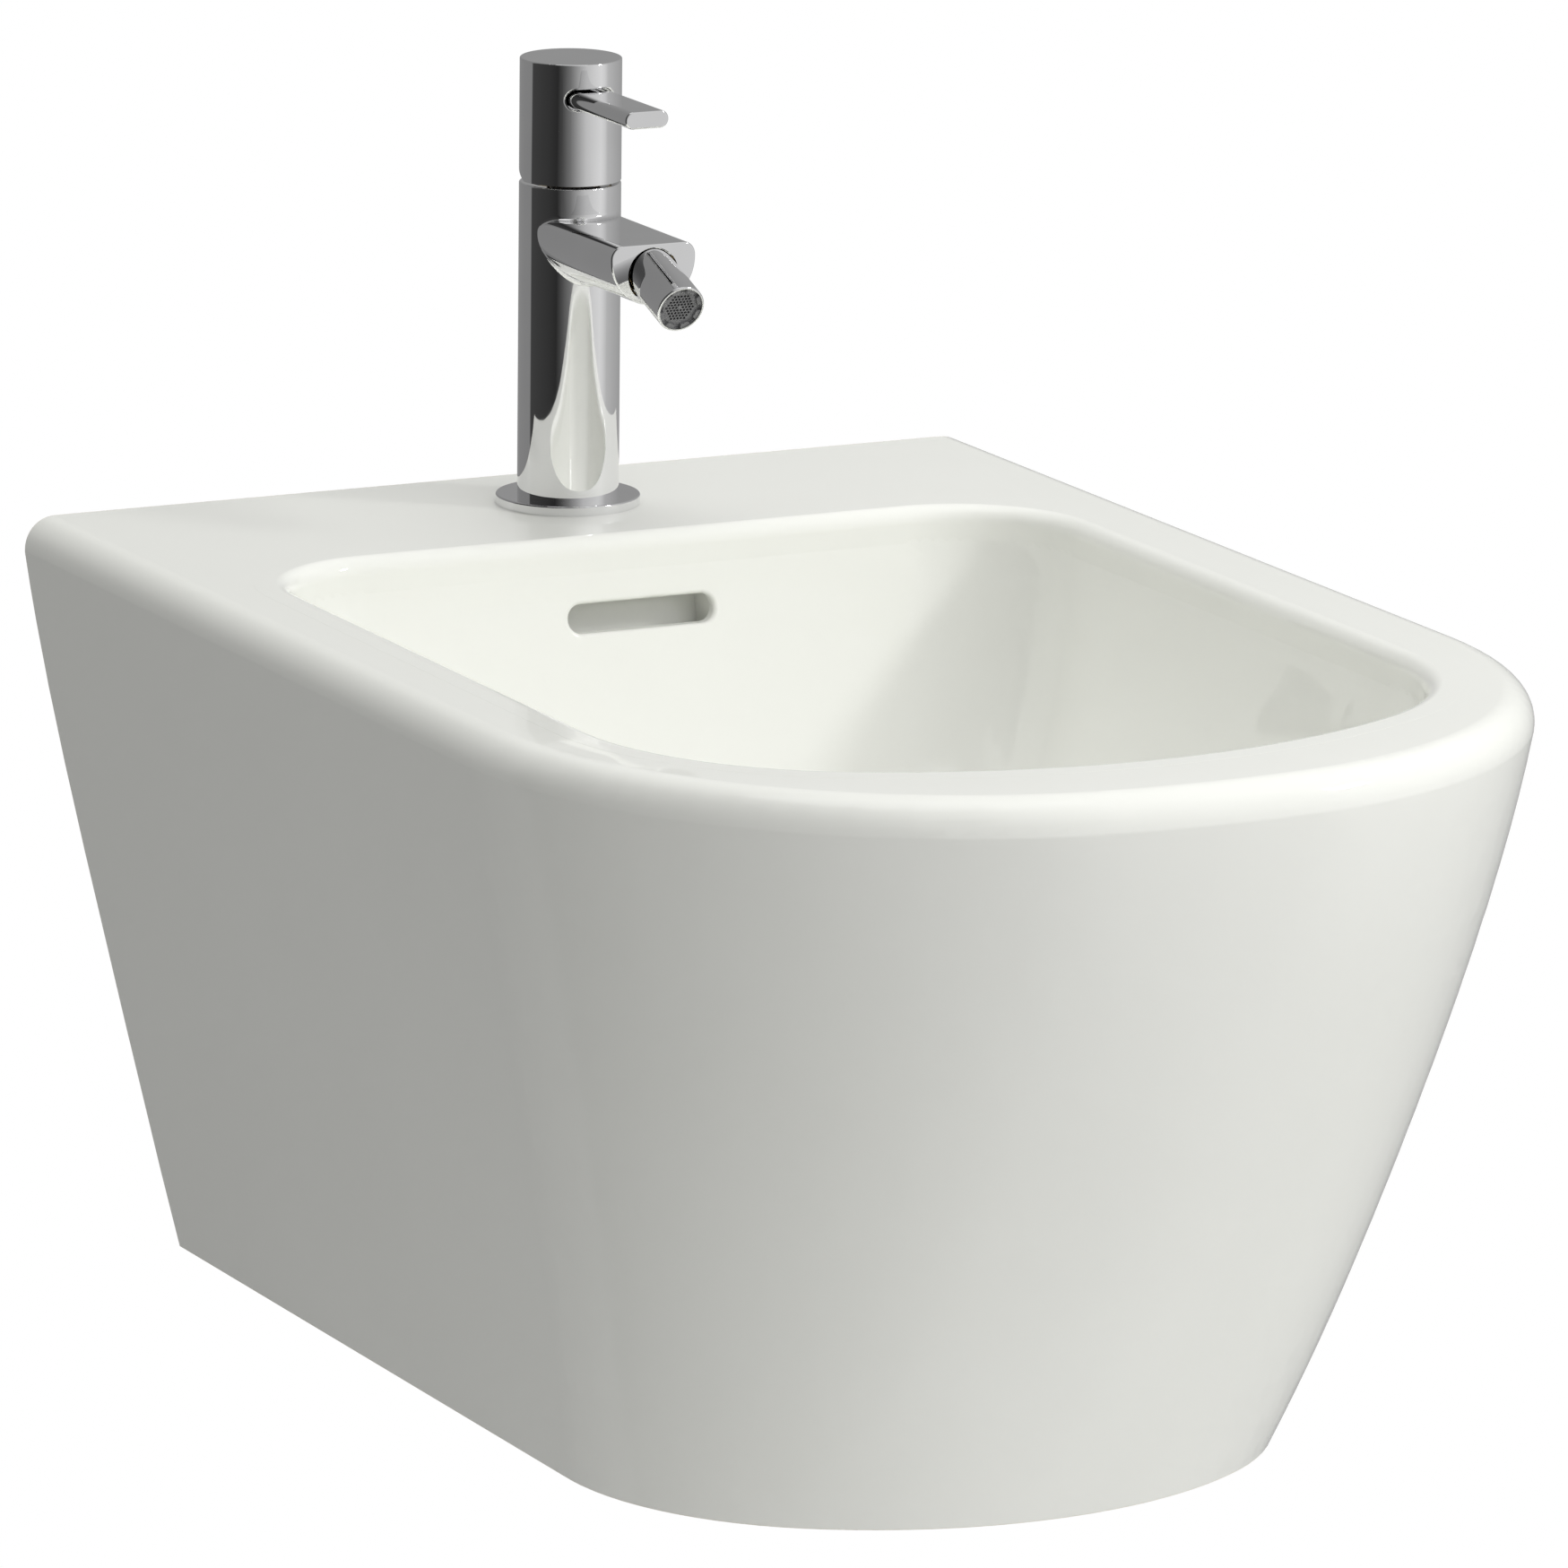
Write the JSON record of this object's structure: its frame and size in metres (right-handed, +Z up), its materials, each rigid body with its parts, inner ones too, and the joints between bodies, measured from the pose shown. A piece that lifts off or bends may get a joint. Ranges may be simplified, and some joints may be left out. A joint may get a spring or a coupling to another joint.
{
  "type": "wall-hung bidet",
  "caption": "Wall-hung ceramic bidet with a D-shaped rim, overflow slot and push-open waste, and a single-lever tap with a swivelling aerator nozzle.",
  "frame": {"origin": "on the wall plane, midway between the two wall fixing holes", "axes": "+X right seen from the front, +Y into the wall, +Z up"},
  "size_m": [0.36, 0.52, 0.4164],
  "materials": {
    "glazed_ceramic": "white gloss glaze",
    "chrome": "polished",
    "steel": "plain",
    "brass": "machined",
    "rubber": "matt",
    "disc_ceramic": "lapped",
    "white_plastic": "moulded",
    "grey_plastic": "moulded"
  },
  "bodies": {
    "basin": {"ceramic_body": "glazed_ceramic", "fixing_sleeve_left": "white_plastic", "fixing_sleeve_right": "white_plastic", "base_ring": "chrome", "base_gasket": "rubber", "tap_body": "chrome", "mounting_stud": "steel", "horseshoe_seal": "rubber", "horseshoe_washer": "steel", "mounting_nut": "brass", "cartridge_base": "grey_plastic", "port_seal_left": "rubber", "port_seal_right": "rubber", "fixed_disc": "disc_ceramic", "cartridge_housing": "grey_plastic", "cartridge_nut": "brass", "swivel_stud": "brass", "stud_seal": "rubber", "waste_body": "chrome", "waste_top_gasket": "rubber", "waste_bottom_gasket": "rubber", "waste_nut": "white_plastic", "plunger_housing": "white_plastic", "tail_seal": "rubber", "tailpipe": "chrome", "tail_nut": "chrome"},
    "rotor": {"cartridge_rotor": "grey_plastic", "stem_pin": "steel"},
    "handle": {"handle_head": "chrome", "lever_bar": "chrome", "lever_screw": "steel", "lever_stem": "brass"},
    "mixing_disc": {"moving_disc": "disc_ceramic", "disc_carrier": "grey_plastic"},
    "swivel": {"nozzle_liner": "grey_plastic"},
    "nozzle": {"nozzle_sleeve": "chrome", "nozzle_seat": "brass", "aerator_gasket": "rubber", "aerator_housing": "grey_plastic", "aerator_insert": "grey_plastic"},
    "plug": {"waste_plug": "chrome", "plug_seal": "rubber", "plunger_rod": "grey_plastic"}
  },
  "joints": [
    {"name": "handle_turn", "type": "hinge", "parent": "basin", "child": "rotor", "pos_m": [0, -0.05, 0.1974], "axis": [0, 0, 1], "range_deg": [-50, 50]},
    {"name": "handle_lift", "type": "hinge", "parent": "rotor", "child": "handle", "pos_m": [0, -0.05, 0.1974], "axis": [-1, 0, 0], "range_deg": [0, 24]},
    {"name": "disc_slide", "type": "slide", "parent": "rotor", "child": "mixing_disc", "axis": [0, -1, 0], "range_m": [0, 0.0065]},
    {"name": "nozzle_turn", "type": "hinge", "parent": "basin", "child": "swivel", "pos_m": [0, -0.1152, 0.1752], "axis": [0, 0, 1], "range_deg": [-12, 12]},
    {"name": "nozzle_tilt", "type": "hinge", "parent": "swivel", "child": "nozzle", "pos_m": [0, -0.1152, 0.1752], "axis": [-1, 0, 0], "range_deg": [0, 34]},
    {"name": "plug_lift", "type": "slide", "parent": "basin", "child": "plug", "axis": [0, 0, 1], "range_m": [0, 0.008]}
  ],
  "couplings": [
    {"joint": "disc_slide", "follows": "handle_lift", "m_per_rad": 0.015387}
  ]
}
